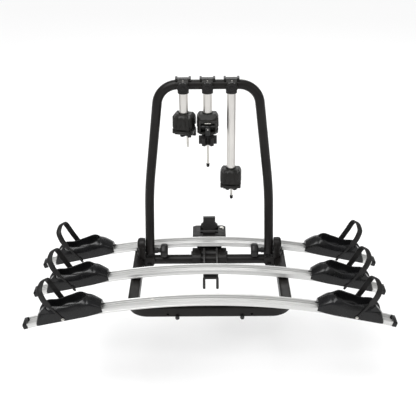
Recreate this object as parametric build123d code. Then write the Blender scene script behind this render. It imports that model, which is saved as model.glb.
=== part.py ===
from build123d import *
import math
import os

# Three-bike carrier that clamps on a tow ball.
# Millimetres. Origin at the centre of the tow ball, +X to the right seen from behind the car,
# +Y towards the car, +Z up.

# ---------------------------------------------------------------- driving dimensions
BALL_R = 25.0

# wheel rails: three extrusions bent to one large arc
RAIL_YS = {"front": -430.0, "middle": -240.0, "rear": -50.0}
RAIL_MID_Z = 75.0
RAIL_TIP_X = 609.0
RAIL_ARC_R = 2117.0
RAIL_WIDTH = 46.0
RAIL_HEIGHT = 17.0
GROOVE_WIDTH = 36.0
GROOVE_DEPTH = 9.0
CAP_LENGTH = 16.0
CAP_MARGIN = 0.8

# where the rails are screwed to the frame: (x, y) on the right-hand side
SEATS = [(186.0, -417.0), (252.0, -240.0), (252.0, -50.0)]

# base frame: one bent box tube
FRAME_X = 254.0
FRAME_WIDTH = 36.0
FRAME_HEIGHT = 40.0
FRAME_MID_Z = 25.0
FRAME_FRONT_Y = -410.5
FRAME_REAR_Y = -14.0
FRAME_BEND_R = 52.0
FRAME_WALL = 3.0
BOARD_HOLE_X = 137.0
BOARD_HOLE_Z = 17.0
BOARD_HOLE_R = 4.0
STUD_X = 106.0

# cross tube, a little behind the plane that the hoop stands in
CROSS_Y = -91.0
CROSS_Z = 25.0
CROSS_R = 17.0
CROSS_END_X = 200.0
PEDAL_X = 4.0

# hoop
HOOP_Y = -101.0
HOOP_R = 16.0
HOOP_WALL = 2.0
HOOP_TOP_Z = 690.0
HOOP_TOP_X = 161.4
HOOP_BEND_X = 206.3
HOOP_BEND_Z = 310.0
HOOP_FOOT_X = 212.4
HOOP_PIVOT_Z = 68.0
HOOP_FOOT_TOP_Z = 89.0
HOOP_CORNER_R = 70.0
HOOP_KNEE_R = 1500.0
HOOP_BOLT_R = 6.0

# coupling and the tilt pivot
TILT_Y = -48.0
TILT_Z = 22.0
TILT_PIN_R = 6.0
HOUSING_X = 61.0
HOUSING_TOP_Z = 94.0
LEVER_PIVOT_Y = 12.0
LEVER_PIVOT_Z = 82.0
JAW_PIVOT_Y = 38.0
JAW_PIVOT_Z = 34.0

# frame-holding arms, left to right
ARM_NAMES = ["left", "middle", "right"]
ARM_X = {"left": -82.0, "middle": -3.0, "right": 75.0}
CLAW_TOP_Z = {"left": 593.0, "middle": 593.0, "right": 394.0}
CLAW_TURN_DEG = {"left": 165.0, "middle": 0.0, "right": 175.0}
ARM_R = 15.0
ARM_WALL = 2.0
CLAMP_R = 24.0
CLAMP_WIDTH = 44.0
CLAMP_COLLAR = 17.0
CLAMP_NECK_R = 18.5
CLAMP_NECK_Z = HOOP_TOP_Z - 28.0

# claws, measured from the claw's top with its working side towards -Y
CLAW_WIDTH = 72.0
CLAW_DEPTH = 57.0
CLAW_SPLIT_Z = -52.0
CLAW_BOTTOM_Z = -68.0
CLAW_LIP_Z = -59.0
CLAW_SOCKET_DEPTH = 24.0
SWING_BOLT_Y = -40.0
SWING_BOLT_Z = -34.0
SWING_BOLT_R = 3.5
JAW_KNUCKLE_Y = 24.0
JAW_KNUCKLE_Z = -50.0
ROD_TIP_Z = {"left": -138.0, "middle": -178.0, "right": -138.0}

# wheel trays, seated on the rails
TRAY_CENTRE_X = 450.0
TRAY_HALF = 109.0
TRAY_HALF_WIDTH = 36.0
WHEEL_R = 340.0
TROUGH_LOW = 14.0
TROUGH_RISE = 12.0
TROUGH_HALF = 16.0
BUCKLE_Y_OUT = -34.0
BUCKLE_Y_IN = -19.0
BUCKLE_IN = 50.0
BUCKLE_LOW = 34.0
STRAP_WIDTH = 20.0
STRAP_THICKNESS = 4.0
STRAP_LEG = 97.0
STRAP_LEAN_DEG = 16.0

RUNNING_GAP = 0.06
ARC_Z = RAIL_MID_Z - RAIL_ARC_R
ARC_AXIS = Axis((0, 0, ARC_Z), (0, 1, 0))


# ---------------------------------------------------------------- helpers
def block(x0, x1, y0, y1, z0, z1):
    return Pos((x0 + x1) / 2, (y0 + y1) / 2, (z0 + z1) / 2) * Box(x1 - x0, y1 - y0, z1 - z0)


def rod_x(x0, x1, y, z, radius):
    return Pos((x0 + x1) / 2, y, z) * Rot(0, 90, 0) * Cylinder(radius, x1 - x0)


def rod_y(x, y0, y1, z, radius):
    return Pos(x, (y0 + y1) / 2, z) * Rot(90, 0, 0) * Cylinder(radius, y1 - y0)


def rod_z(x, y, z0, z1, radius):
    return Pos(x, y, (z0 + z1) / 2) * Cylinder(radius, z1 - z0)


def slab_x(outline, x0, x1):
    """Closed outline of (y, z) points, extruded along X."""
    face = make_face(Plane.YZ.offset(x0) * Polyline(*outline, close=True))
    return extrude(face, x1 - x0, dir=(1, 0, 0))


def slab_y(outline, y0, y1):
    """Closed outline of (x, z) points, extruded along Y."""
    plane = Plane((0, y0, 0), x_dir=(1, 0, 0), z_dir=(0, -1, 0))
    face = make_face(plane * Polyline(*outline, close=True))
    return extrude(face, y1 - y0, dir=(0, 1, 0))


def slab_z(outline, z0, z1):
    """Closed outline of (x, y) points, extruded along Z."""
    face = make_face(Plane.XY.offset(z0) * Polyline(*outline, close=True))
    return extrude(face, z1 - z0, dir=(0, 0, 1))


def rail_drum(radius, y0, y1):
    """Solid drum about the rails' common arc centre, used to trim things to a rail."""
    return rod_y(0, y0, y1, ARC_Z, radius)


def arc_angle(x):
    return math.degrees(math.asin(x / RAIL_ARC_R))


def both_sides(solid):
    return [solid, mirror(solid, about=Plane.YZ)]


def joined(solids):
    total = solids[0]
    for solid in solids[1:]:
        total = total + solid
    return total


def cut_by(solid, tools):
    for tool in tools:
        solid = solid - tool
    return solid


def write(name, shape):
    solids = shape if isinstance(shape, list) else [shape]
    bodies = [solid for item in solids for solid in item.solids()]
    result = bodies[0] if len(bodies) == 1 else Compound(children=bodies)
    export_step(result, f"parts/{name}.step")


# ---------------------------------------------------------------- wheel rails
def swept_along_arc(section, start_deg, sweep_deg):
    start = section.rotate(ARC_AXIS, start_deg)
    return revolve(start, axis=ARC_AXIS, revolution_arc=sweep_deg)


def rail_section(y):
    skin = 1.8
    outer = Pos(y, RAIL_MID_Z) * RectangleRounded(RAIL_WIDTH, RAIL_HEIGHT, 1.6)
    groove_z = RAIL_MID_Z + (RAIL_HEIGHT - GROOVE_DEPTH) / 2
    groove = Pos(y, groove_z) * Rectangle(GROOVE_WIDTH, GROOVE_DEPTH)
    chamber_height = RAIL_HEIGHT - GROOVE_DEPTH - 2 * skin
    chamber_z = RAIL_MID_Z - RAIL_HEIGHT / 2 + skin + chamber_height / 2
    chambers = [Pos(y + side * 13.5, chamber_z) * Rectangle(13, chamber_height) for side in (-1, 1)]
    slot = Pos(y, chamber_z - skin) * Rectangle(8.4, chamber_height + 2 * skin)
    return Plane.YZ * (outer - groove - chambers[0] - chambers[1] - slot)


def wheel_rail(y):
    half = arc_angle(RAIL_TIP_X - CAP_LENGTH)
    return cut_by(swept_along_arc(rail_section(y), -half, 2 * half), rail_bolts())


def rail_end_caps():
    caps = []
    start = arc_angle(RAIL_TIP_X - CAP_LENGTH)
    width = RAIL_WIDTH + 2 * CAP_MARGIN
    height = RAIL_HEIGHT + 2 * CAP_MARGIN
    for y in RAIL_YS.values():
        face = Plane.YZ * (Pos(y, RAIL_MID_Z) * RectangleRounded(width, height, 5))
        cap = swept_along_arc(face, start, arc_angle(RAIL_TIP_X) - start)
        caps += both_sides(cap)
    return caps


def rail_bolts():
    """Flush screws in the rails' grooves, square to each rail, down into the frame's top wall."""
    floor_z = RAIL_MID_Z + RAIL_HEIGHT / 2 - GROOVE_DEPTH
    bolts = []
    for x, y in SEATS:
        bolt = rod_z(0, y, floor_z - 1.4, floor_z, 6) + rod_z(0, y, floor_z - 34, floor_z - 1.4, 4)
        bolts += both_sides(bolt.rotate(ARC_AXIS, arc_angle(x)))
    return bolts


# ---------------------------------------------------------------- platform
def frame_path():
    z = FRAME_MID_Z
    corners = [(-FRAME_X, FRAME_REAR_Y, z), (-FRAME_X, FRAME_FRONT_Y, z),
               (FRAME_X, FRAME_FRONT_Y, z), (FRAME_X, FRAME_REAR_Y, z)]
    return FilletPolyline(*corners, radius=FRAME_BEND_R)


def frame_sweep(inset):
    start = Plane((-FRAME_X, FRAME_REAR_Y, FRAME_MID_Z), x_dir=(1, 0, 0), z_dir=(0, -1, 0))
    section = start * RectangleRounded(FRAME_WIDTH - 2 * inset, FRAME_HEIGHT - 2 * inset, 7 - inset)
    return sweep(section, path=frame_path())


def rail_pads():
    """Welded saddles that carry the rails on the side members."""
    pads = []
    frame_top = FRAME_MID_Z + FRAME_HEIGHT / 2
    under_rail = rail_drum(RAIL_ARC_R - RAIL_HEIGHT / 2, -480, 0)
    for x, y in SEATS:
        pad = block(x - 16, x + 16, y - 9, y + 9, frame_top - 2, frame_top + 30) & under_rail
        pads += both_sides(pad)
    return pads


def base_frame():
    frame = frame_sweep(0) - frame_sweep(FRAME_WALL)
    end_plate = block(FRAME_X - 16, FRAME_X + 16, FRAME_REAR_Y - 3, FRAME_REAR_Y,
                      FRAME_MID_Z - 18, FRAME_MID_Z + 18)
    frame = joined([frame] + both_sides(end_plate) + rail_pads())
    front_face_y = FRAME_FRONT_Y - FRAME_WIDTH / 2
    for x in (-BOARD_HOLE_X, BOARD_HOLE_X):
        frame -= rod_y(x, front_face_y - 1, front_face_y + FRAME_WALL + 1, BOARD_HOLE_Z, BOARD_HOLE_R)
    return cut_by(frame, rail_bolts())


def frame_studs():
    """Round bolt heads: two low on the front bar, two on the feet of the hoop brackets."""
    front_face_y = FRAME_FRONT_Y - FRAME_WIDTH / 2
    studs = both_sides(rod_y(STUD_X, front_face_y - 7, front_face_y, 7.5, 7))
    studs += both_sides(rod_y(216, HOOP_Y - 22, HOOP_Y - 14, 14, 8))
    return studs


def cross_tube():
    outer = rod_x(-CROSS_END_X, CROSS_END_X, CROSS_Y, CROSS_Z, CROSS_R)
    return outer - rod_x(-CROSS_END_X, CROSS_END_X, CROSS_Y, CROSS_Z, CROSS_R - 3)


def hinge_brackets():
    """Cast knees: a foot that takes the cross tube and a rounded ear outside the hoop leg."""
    ear_y = HOOP_Y + 1.0
    frame_top = FRAME_MID_Z + FRAME_HEIGHT / 2
    foot_front_y = HOOP_Y - 14
    foot_rear_y = CROSS_Y + 16
    ear = block(230, 250, ear_y - 23, ear_y + 23, frame_top, 94) + rod_x(230, 250, ear_y, 94, 23)
    ear = ear + rod_x(250, 255, HOOP_Y, HOOP_PIVOT_Z, 14)
    inner_x = FRAME_X - FRAME_WIDTH / 2
    foot = slab_y([(197, 20), (204, 8), (inner_x, 4), (inner_x, 44), (197, 44)], foot_front_y, foot_rear_y)
    foot = foot + block(224, inner_x, foot_front_y, foot_rear_y, 30, 45)
    foot -= rod_x(190, CROSS_END_X, CROSS_Y, CROSS_Z, CROSS_R)
    knee = ear + foot + block(226, 234, foot_front_y, foot_rear_y, frame_top - 1, frame_top + 1)
    knee -= rod_x(190, 270, HOOP_Y, HOOP_PIVOT_Z, HOOP_BOLT_R)
    frame_side = block(inner_x, 280, -200, 20, 0, frame_top)
    return both_sides(knee - frame_side)


def bracket_shoulder():
    """One cheek of the centre bracket, from round the cross tube back to the tilt pivot."""
    outline = [(TILT_Y, 44), (-62, 50), (-108, 50), (-114, 44), (-114, -6), (-70, -6), (TILT_Y, 0)]
    cheek = slab_x(outline, 31, 62) + rod_x(31, 62, TILT_Y, TILT_Z, 22)
    lightening = slab_x([(-62, 42), (-70, 44), (-70, 2), (-62, 4)], 37, 56)
    return cheek - lightening


def center_bracket():
    shoulders = both_sides(bracket_shoulder())
    tie = block(-62, 62, -114, -70, -12, -6)
    bracket = joined(shoulders + [tie])
    bracket -= rod_x(-70, 70, CROSS_Y, CROSS_Z, CROSS_R)
    return bracket - rod_x(-70, 70, TILT_Y, TILT_Z, TILT_PIN_R)


def platform_pins():
    """Tilt pin and the two hoop pivot bolts."""
    tilt_pin = rod_x(-67, 67, TILT_Y, TILT_Z, TILT_PIN_R)
    for side in (-1, 1):
        tilt_pin += rod_x(min(side * 62, side * 67), max(side * 62, side * 67), TILT_Y, TILT_Z, 10)
    bolt = rod_x(158, 256, HOOP_Y, HOOP_PIVOT_Z, HOOP_BOLT_R)
    bolt = bolt + rod_x(255, 261, HOOP_Y, HOOP_PIVOT_Z, 10)
    return [tilt_pin] + both_sides(bolt)


def tilt_pedal():
    """Foot pedal: two plates that swing on the cross tube, tied by a web at the front."""
    front_y = CROSS_Y - 166.0
    rear_y = CROSS_Y + 18.0
    outline = [(front_y, 50), (rear_y - 32, 50), (rear_y - 3, 61), (rear_y, 61), (rear_y, 22),
               (CROSS_Y, 1.4), (front_y + 90, 14),
               (front_y + 12, 1.4), (front_y + 4, 1.4), (front_y, 6)]
    plates = both_sides(slab_x(outline, 20, 26))
    web = block(-26, 26, front_y, front_y + 24, 43, 50)
    tread = joined([block(-20, 20, front_y + 5 + 8 * i, front_y + 8 + 8 * i, 50, 52) for i in range(3)])
    pedal = joined(plates + [web, tread]) - rod_x(-30, 30, CROSS_Y, CROSS_Z, CROSS_R + RUNNING_GAP)
    return Pos(PEDAL_X, 0, 0) * pedal


# ---------------------------------------------------------------- coupling
def coupling_body():
    main = block(-45, 45, -22, 50, -20, 60)
    nose = rod_x(-29.4, 29.4, TILT_Y, TILT_Z, 21) + block(-29.4, 29.4, TILT_Y, -20, 1, 43)
    top = HOUSING_TOP_Z
    head_outline = [(-20, 52), (-20, top - 12), (-8, top), (38, top), (52, top - 14), (52, 46), (-6, 46)]
    head = slab_x(head_outline, -HOUSING_X, HOUSING_X)
    front_view = slab_y([(-HOUSING_X, 40), (HOUSING_X, 40), (HOUSING_X, top - 10), (HOUSING_X - 12, top),
                         (12 - HOUSING_X, top), (-HOUSING_X, top - 10)], -40, 80)
    ribs = joined([block(-40, 40, -22, -20, z, z + 2.4) for z in (66, 72, 78)])
    body = main + nose + (head & front_view) + ribs
    body -= Sphere(BALL_R + 0.4)
    body -= rod_z(0, 3, -30, 0, BALL_R + 1)
    body -= block(-24, 24, 20, 60, -30, 46)
    body -= block(-23.2, 23.2, -8, 34, 68, 120)
    body -= block(-33, 33, -30, 34, top - 14, 120)
    body -= rod_x(-34, 34, TILT_Y, TILT_Z, TILT_PIN_R + RUNNING_GAP)
    body -= rod_x(-34, 34, LEVER_PIVOT_Y, LEVER_PIVOT_Z, 5)
    body -= rod_x(-34, 34, JAW_PIVOT_Y, JAW_PIVOT_Z, 4)
    return body - rod_z(46, 16, top - 18, top + 8, 7 + RUNNING_GAP)


def coupling_pins():
    lever_pin = rod_x(-34, 34, LEVER_PIVOT_Y, LEVER_PIVOT_Z, 5)
    jaw_pin = rod_x(-34, 34, JAW_PIVOT_Y, JAW_PIVOT_Z, 4)
    return [lever_pin, jaw_pin]


def coupling_lever():
    hub = rod_x(-22.2, 22.2, LEVER_PIVOT_Y, LEVER_PIVOT_Z, 12)
    cam = slab_x([(4, 82), (20, 82), (19, 143), (7, 143)], -22.2, 22.2)
    flare_outline = [(-22, 98), (22, 98), (31, 104), (31, 112),
                     (22, 120), (-22, 120), (-31, 112), (-31, 104)]
    flare = slab_y(flare_outline, 5, 18)
    lever = hub + cam + flare
    lever -= rod_y(-25, 0, 30, 109, 3.4)
    return lever - rod_x(-30, 30, LEVER_PIVOT_Y, LEVER_PIVOT_Z, 5 + RUNNING_GAP)


def lock_cylinder():
    key_slot = block(42, 50, 15.2, 16.8, HOUSING_TOP_Z + 1, HOUSING_TOP_Z + 8)
    return rod_z(46, 16, HOUSING_TOP_Z - 18, HOUSING_TOP_Z + 4, 7) - key_slot


def clamp_jaw():
    outline = [(30, 41), (46, 41), (48, 20), (46, -14), (38, -22), (22, -22), (22, -14), (28, 10)]
    jaw = slab_x(outline, -21, 21) - Sphere(BALL_R + 0.7)
    return jaw - rod_x(-25, 25, JAW_PIVOT_Y, JAW_PIVOT_Z, 4 + RUNNING_GAP)


# ---------------------------------------------------------------- hoop
def hoop_path():
    corners = [(-HOOP_FOOT_X, HOOP_Y, HOOP_FOOT_TOP_Z), (-HOOP_BEND_X, HOOP_Y, HOOP_BEND_Z),
               (-HOOP_TOP_X, HOOP_Y, HOOP_TOP_Z), (HOOP_TOP_X, HOOP_Y, HOOP_TOP_Z),
               (HOOP_BEND_X, HOOP_Y, HOOP_BEND_Z), (HOOP_FOOT_X, HOOP_Y, HOOP_FOOT_TOP_Z)]
    radii = [HOOP_KNEE_R, HOOP_CORNER_R, HOOP_CORNER_R, HOOP_KNEE_R]
    return FilletPolyline(*corners, radius=radii)


def hoop_tube():
    path = hoop_path()
    start = Plane(path @ 0, z_dir=path % 0)
    return sweep(start * Circle(HOOP_R), path=path) - sweep(start * Circle(HOOP_R - HOOP_WALL), path=path)


def hoop_feet():
    """Solid end fittings of the hoop's legs, with the pivot bores."""
    foot = rod_z(HOOP_FOOT_X, HOOP_Y, HOOP_PIVOT_Z, HOOP_FOOT_TOP_Z - 0.6, HOOP_R)
    foot = foot + rod_z(HOOP_FOOT_X, HOOP_Y, HOOP_PIVOT_Z, HOOP_FOOT_TOP_Z + 12, HOOP_R - HOOP_WALL - 0.8)
    foot = foot + (rod_x(HOOP_FOOT_X - 16, HOOP_FOOT_X + 16, HOOP_Y, HOOP_PIVOT_Z, HOOP_R)
                   & rod_z(HOOP_FOOT_X, HOOP_Y, 40, 90, HOOP_R))
    foot -= rod_x(190, 235, HOOP_Y, HOOP_PIVOT_Z, HOOP_BOLT_R + RUNNING_GAP)
    return both_sides(foot)


def hoop_knob(side):
    """Lobed hand knob on the inner end of a hoop bolt."""
    disc = rod_x(152, 176, HOOP_Y, HOOP_PIVOT_Z, 25)
    for lobe in range(6):
        angle = math.radians(60 * lobe + 30)
        disc -= rod_x(150, 178, HOOP_Y + 31 * math.cos(angle), HOOP_PIVOT_Z + 31 * math.sin(angle), 9)
    disc = disc + rod_x(176, 196, HOOP_Y, HOOP_PIVOT_Z, 11)
    knob = disc - rod_x(158, 200, HOOP_Y, HOOP_PIVOT_Z, HOOP_BOLT_R + RUNNING_GAP)
    return knob if side > 0 else mirror(knob, about=Plane.YZ)


# ---------------------------------------------------------------- arms
def arm_clamp(x):
    """Clamp head on the hoop's top bar: collar, top strip with two horns, knob seat and neck."""
    half = CLAMP_WIDTH / 2
    top = HOOP_TOP_Z
    head = rod_x(x - CLAMP_COLLAR, x + CLAMP_COLLAR, HOOP_Y, top, CLAMP_R) & block(
        x - half, x + half, HOOP_Y - CLAMP_R, HOOP_Y + CLAMP_R, top - CLAMP_R, top + HOOP_R + 4)
    head = head + block(x - half, x + half, HOOP_Y - 11, HOOP_Y + 11, top + HOOP_R + 0.4, top + HOOP_R + 5)
    for side in (-1, 1):
        middle_x = x + side * half
        head = head + block(middle_x - 3.5, middle_x + 3.5, HOOP_Y - 13, HOOP_Y + 13,
                            top + HOOP_R + 0.4, top + HOOP_R + 8)
    head = head + rod_y(x, HOOP_Y - 27, HOOP_Y, top, 15) + rod_z(x, HOOP_Y, CLAMP_NECK_Z, top, CLAMP_NECK_R)
    head -= rod_x(x - half - 5, x + half + 5, HOOP_Y, top, HOOP_R + RUNNING_GAP)
    head -= rod_z(x, HOOP_Y, CLAMP_NECK_Z - 1, top - HOOP_R - 6, ARM_R)
    return head - rod_y(x, HOOP_Y - 30, HOOP_Y - HOOP_R - 3, top, 4 + RUNNING_GAP)


def arm_tube(x, claw_top):
    top = HOOP_TOP_Z - HOOP_R - 6
    bottom = claw_top - CLAW_SOCKET_DEPTH
    tube = rod_z(x, HOOP_Y, bottom, top, ARM_R) - rod_z(x, HOOP_Y, bottom, top, ARM_R - ARM_WALL)
    for side in (-1, 1):
        tube -= block(x + side * 8 - 1, x + side * 8 + 1, HOOP_Y - 16, HOOP_Y - 12, bottom, top)
    return tube


def arm_knob(x):
    """Round knob that tightens the clamp head, with its screw."""
    top = HOOP_TOP_Z
    disc = rod_y(x, HOOP_Y - 42, HOOP_Y - 28, top, 18.5)
    for lobe in range(8):
        angle = math.radians(45 * lobe + 22.5)
        disc -= rod_y(x + 22 * math.cos(angle), HOOP_Y - 43, HOOP_Y - 27, top + 22 * math.sin(angle), 5)
    return disc + rod_y(x, HOOP_Y - 28, HOOP_Y - 20, top, 4) + rod_y(x, HOOP_Y - 45, HOOP_Y - 42, top, 5)


def rounded_column(width, depth, radius, z0, z1):
    face = Plane.XY.offset(z0) * RectangleRounded(width, depth, radius)
    return extrude(face, z1 - z0, dir=(0, 0, 1))


def claw_body_shape():
    """Claw body about its own arm axis: arm socket on top, half of the tube channel below."""
    half = CLAW_WIDTH / 2
    split = CLAW_SPLIT_Z
    body = rounded_column(CLAW_WIDTH, CLAW_DEPTH, 20, split, 0)
    body = body & slab_y([(-half, split + 12), (7 - half, split), (half - 7, split), (half, split + 12),
                          (half, -12), (half - 9, 0), (9 - half, 0), (-half, -12)], -31, 31)
    body = body & slab_x([(-30, split), (30, split), (30, -16), (17, 0), (-17, 0), (-30, -16)], -half, half)
    lug = block(-29, 29, SWING_BOLT_Y - 8, -24, split, -16)
    body = body + (lug & slab_x([(-48, -30), (-40, -16), (-20, -10), (-20, split), (-48, split)], -30, 30))
    body -= block(-23, 23, -60, SWING_BOLT_Y + 10, split - 1, -24)
    body -= block(-12, 12, -50, -38, -22, -19)
    body -= rod_x(-40, 40, 2, split, 15)
    body -= rod_x(-26, 26, SWING_BOLT_Y, SWING_BOLT_Z, 4 + RUNNING_GAP)
    body -= rod_z(0, 0, -CLAW_SOCKET_DEPTH, 1, ARM_R + RUNNING_GAP)
    body -= rod_x(-24.3, 24.3, JAW_KNUCKLE_Y, JAW_KNUCKLE_Z, 5 + RUNNING_GAP)
    body -= block(-24.3, 24.3, 18.5, 35, split - 1, JAW_KNUCKLE_Z + 1.5)
    for index in range(5):
        body -= rod_z((index - 2) * 11.0, 31.5, -44, -16, 4.4)
    return body


def claw_jaw_shape():
    """Lower jaw: knuckle at the back, slotted lip in front for the swing bolt."""
    top = CLAW_SPLIT_Z - 0.6
    low = CLAW_BOTTOM_Z
    right_side = [(24, 28), (24, 22), (33, 22), (35, 18), (35, -18), (24, -46)]
    left_side = [(-x, y) for x, y in reversed(right_side)]
    plan = slab_z(right_side + left_side, low, top)
    jaw = plan + rod_x(-24, 24, JAW_KNUCKLE_Y, JAW_KNUCKLE_Z, 5)
    jaw = jaw + block(-24, 24, JAW_KNUCKLE_Y - 4, JAW_KNUCKLE_Y + 4, top - 3, JAW_KNUCKLE_Z)
    jaw = jaw & slab_x([(-48, CLAW_LIP_Z), (-48, -40), (32, -40), (32, low), (10, low)], -40, 40)
    jaw -= rod_x(-40, 40, 2, CLAW_SPLIT_Z, 11)
    return jaw - block(-5.5, 5.5, -50, SWING_BOLT_Y + 8, low - 1, top + 1)


def claw_bolt_shape(tip_z):
    """Swing bolt: a cross pin, an eye and a long rod with a soft tip."""
    bolt = rod_x(-25.6, 25.6, SWING_BOLT_Y, SWING_BOLT_Z, 4) + rod_x(-7, 7, SWING_BOLT_Y, SWING_BOLT_Z, 8)
    bolt = bolt + rod_z(0, SWING_BOLT_Y, tip_z, SWING_BOLT_Z, SWING_BOLT_R)
    return bolt + rod_z(0, SWING_BOLT_Y, tip_z, tip_z + 14, 5.5)


def claw_knob_shape():
    """Winged knob on the rod, just below the jaw."""
    top = CLAW_LIP_Z - 7
    low = CLAW_LIP_Z - 34
    knob = rod_z(0, SWING_BOLT_Y, low, top, 15) + rod_z(0, SWING_BOLT_Y, top, top + 3, 9)
    for angle in (0, 60, 120):
        wing = Pos(0, SWING_BOLT_Y, (top + low) / 2) * Rot(0, 0, angle) * Box(62, 12, top - low)
        knob = knob + wing
    knob = knob & rod_z(0, SWING_BOLT_Y, low, top + 4, 30.0)
    return knob - rod_z(0, SWING_BOLT_Y, low - 5, top + 9, SWING_BOLT_R + RUNNING_GAP)


def placed_claw(shape, name):
    return Pos(ARM_X[name], HOOP_Y, CLAW_TOP_Z[name]) * Rot(0, 0, CLAW_TURN_DEG[name]) * shape


# ---------------------------------------------------------------- wheel trays
# Built at the top of the arc with the outer end at +X, then swung along the rail.
def tray_shell():
    """Outer form: side view, end view and plan, each as an outline, cut out of one another."""
    base = RAIL_MID_Z
    low = base - 4
    outer = TRAY_HALF
    half = TRAY_HALF_WIDTH
    side_points = [(-6, -4), (9, 34), (25, 48), (38, 56), (54, 55), (70, 48), (105, 49), (135, 55),
                   (158, 60), (175, 57), (189, 48), (204, 32), (216, 17), (213, 10), (205, -4)]
    side_view = slab_y([(outer - run, base + rise) for run, rise in side_points], -half, half)
    end_view = slab_x([(-half, low), (half, low), (half, base + 30), (24, base + 52), (16, base + 61),
                       (-16, base + 61), (-24, base + 52), (-half, base + 30)], -outer - 6, outer + 7)
    plan = slab_z([(outer + 6, 4 - half), (outer - 6, -half), (60 - outer, -half), (14 - outer, 12 - half),
                   (2 - outer, -9), (2 - outer, 9), (14 - outer, half - 12), (60 - outer, half),
                   (outer - 6, half), (outer + 6, half - 4)], low, base + 68)
    return side_view & end_view & plan


def wheel_tray():
    base = RAIL_MID_Z
    outer = TRAY_HALF
    tray = tray_shell()
    tray -= rail_drum(RAIL_ARC_R + RAIL_HEIGHT / 2 + 0.8, -RAIL_WIDTH / 2 - 0.8, RAIL_WIDTH / 2 + 0.8)
    tray -= rod_y(outer - TROUGH_LOW, -TROUGH_HALF, TROUGH_HALF, base + TROUGH_RISE + WHEEL_R, WHEEL_R)
    tray -= block(outer - BUCKLE_IN - 0.5, outer + 5, -60, BUCKLE_Y_IN + 0.5,
                  base + BUCKLE_LOW - 0.4, base + 90)
    tray -= block(outer - BUCKLE_IN - 14, outer, -60, BUCKLE_Y_IN + 0.5, base + BUCKLE_LOW + 9, base + 90)
    tray = tray & (rail_drum(RAIL_ARC_R + 200, -60, 60) - rail_drum(RAIL_ARC_R - 1, -60, 60))
    return tray + rod_x(-outer - 4, 6 - outer, 0, base + 14, 2.5)


def arch_face(radius, height):
    return Pos(0, height / 2) * Rectangle(2 * radius, height) + Pos(0, height) * Circle(radius)


def wheel_strap():
    """Ratchet strap arched over the wheel: legs outside the tray's sides, leaning outwards."""
    inner = TRAY_HALF_WIDTH + 1.2
    leg = STRAP_LEG
    band = arch_face(inner + STRAP_THICKNESS, leg) - arch_face(inner, leg)
    strap = extrude(Plane.YZ * band, STRAP_WIDTH / 2, both=True)
    for side in (-1, 1):
        y0 = side * TRAY_HALF_WIDTH
        y1 = side * (inner + 1)
        strap = strap + rod_y(0, min(y0, y1), max(y0, y1), 9, 6)
    return Pos(TRAY_HALF - 86, 0, RAIL_MID_Z - 4) * Rot(0, STRAP_LEAN_DEG, 0) * strap


def strap_buckle():
    """Ratchet lever on the tray's outer front corner, hinged at its inner end."""
    base = RAIL_MID_Z
    outer = TRAY_HALF
    hinge_run = BUCKLE_IN - 6
    hinge_rise = BUCKLE_LOW + 6
    points = [(14, BUCKLE_LOW), (15, BUCKLE_LOW + 5), (26, 50), (36, 57), (41, 57), (46.5, BUCKLE_LOW + 11),
              (hinge_run, BUCKLE_LOW)]
    lever = slab_y([(outer - run, base + rise) for run, rise in points], BUCKLE_Y_OUT, BUCKLE_Y_IN)
    return lever + rod_y(outer - hinge_run, BUCKLE_Y_OUT, BUCKLE_Y_IN, base + hinge_rise, 6)


def on_rail(shape, y, side):
    placed = shape if side > 0 else mirror(shape, about=Plane.YZ)
    return (Pos(0, y, 0) * placed).rotate(ARC_AXIS, side * arc_angle(TRAY_CENTRE_X))


# ---------------------------------------------------------------- write every piece
def main():
    os.makedirs("parts", exist_ok=True)

    write("coupling_body", coupling_body())
    write("coupling_pins", coupling_pins())
    write("coupling_lever", coupling_lever())
    write("lock_cylinder", lock_cylinder())
    write("clamp_jaw", clamp_jaw())

    write("base_frame", base_frame())
    write("cross_tube", cross_tube())
    write("center_bracket", center_bracket())
    write("hinge_brackets", hinge_brackets())
    write("frame_studs", frame_studs())
    write("platform_pins", platform_pins())
    write("tilt_pedal", tilt_pedal())
    write("rail_end_caps", rail_end_caps())
    write("rail_bolts", rail_bolts())
    for name, y in RAIL_YS.items():
        write(f"wheel_rail_{name}", wheel_rail(y))

    write("hoop_tube", hoop_tube())
    write("hoop_feet", hoop_feet())
    write("hoop_knob_left", hoop_knob(-1))
    write("hoop_knob_right", hoop_knob(1))

    body = claw_body_shape()
    jaw = claw_jaw_shape()
    knob = claw_knob_shape()
    for name in ARM_NAMES:
        write(f"arm_clamp_{name}", arm_clamp(ARM_X[name]))
        write(f"arm_tube_{name}", arm_tube(ARM_X[name], CLAW_TOP_Z[name]))
        write(f"arm_knob_{name}", arm_knob(ARM_X[name]))
        write(f"claw_body_{name}", placed_claw(body, name))
        write(f"claw_jaw_{name}", placed_claw(jaw, name))
        write(f"claw_bolt_{name}", placed_claw(claw_bolt_shape(ROD_TIP_Z[name]), name))
        write(f"claw_knob_{name}", placed_claw(knob, name))

    tray = wheel_tray()
    strap = wheel_strap()
    buckle = strap_buckle()
    for place, y in RAIL_YS.items():
        for side_name, side in (("left", -1), ("right", 1)):
            write(f"wheel_tray_{place}_{side_name}", on_rail(tray, y, side))
            write(f"wheel_strap_{place}_{side_name}", on_rail(strap, y, side))
            write(f"strap_buckle_{place}_{side_name}", on_rail(buckle, y, side))


main()
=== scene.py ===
import math

import bpy
import bmesh
from mathutils import Matrix, Vector


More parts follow.
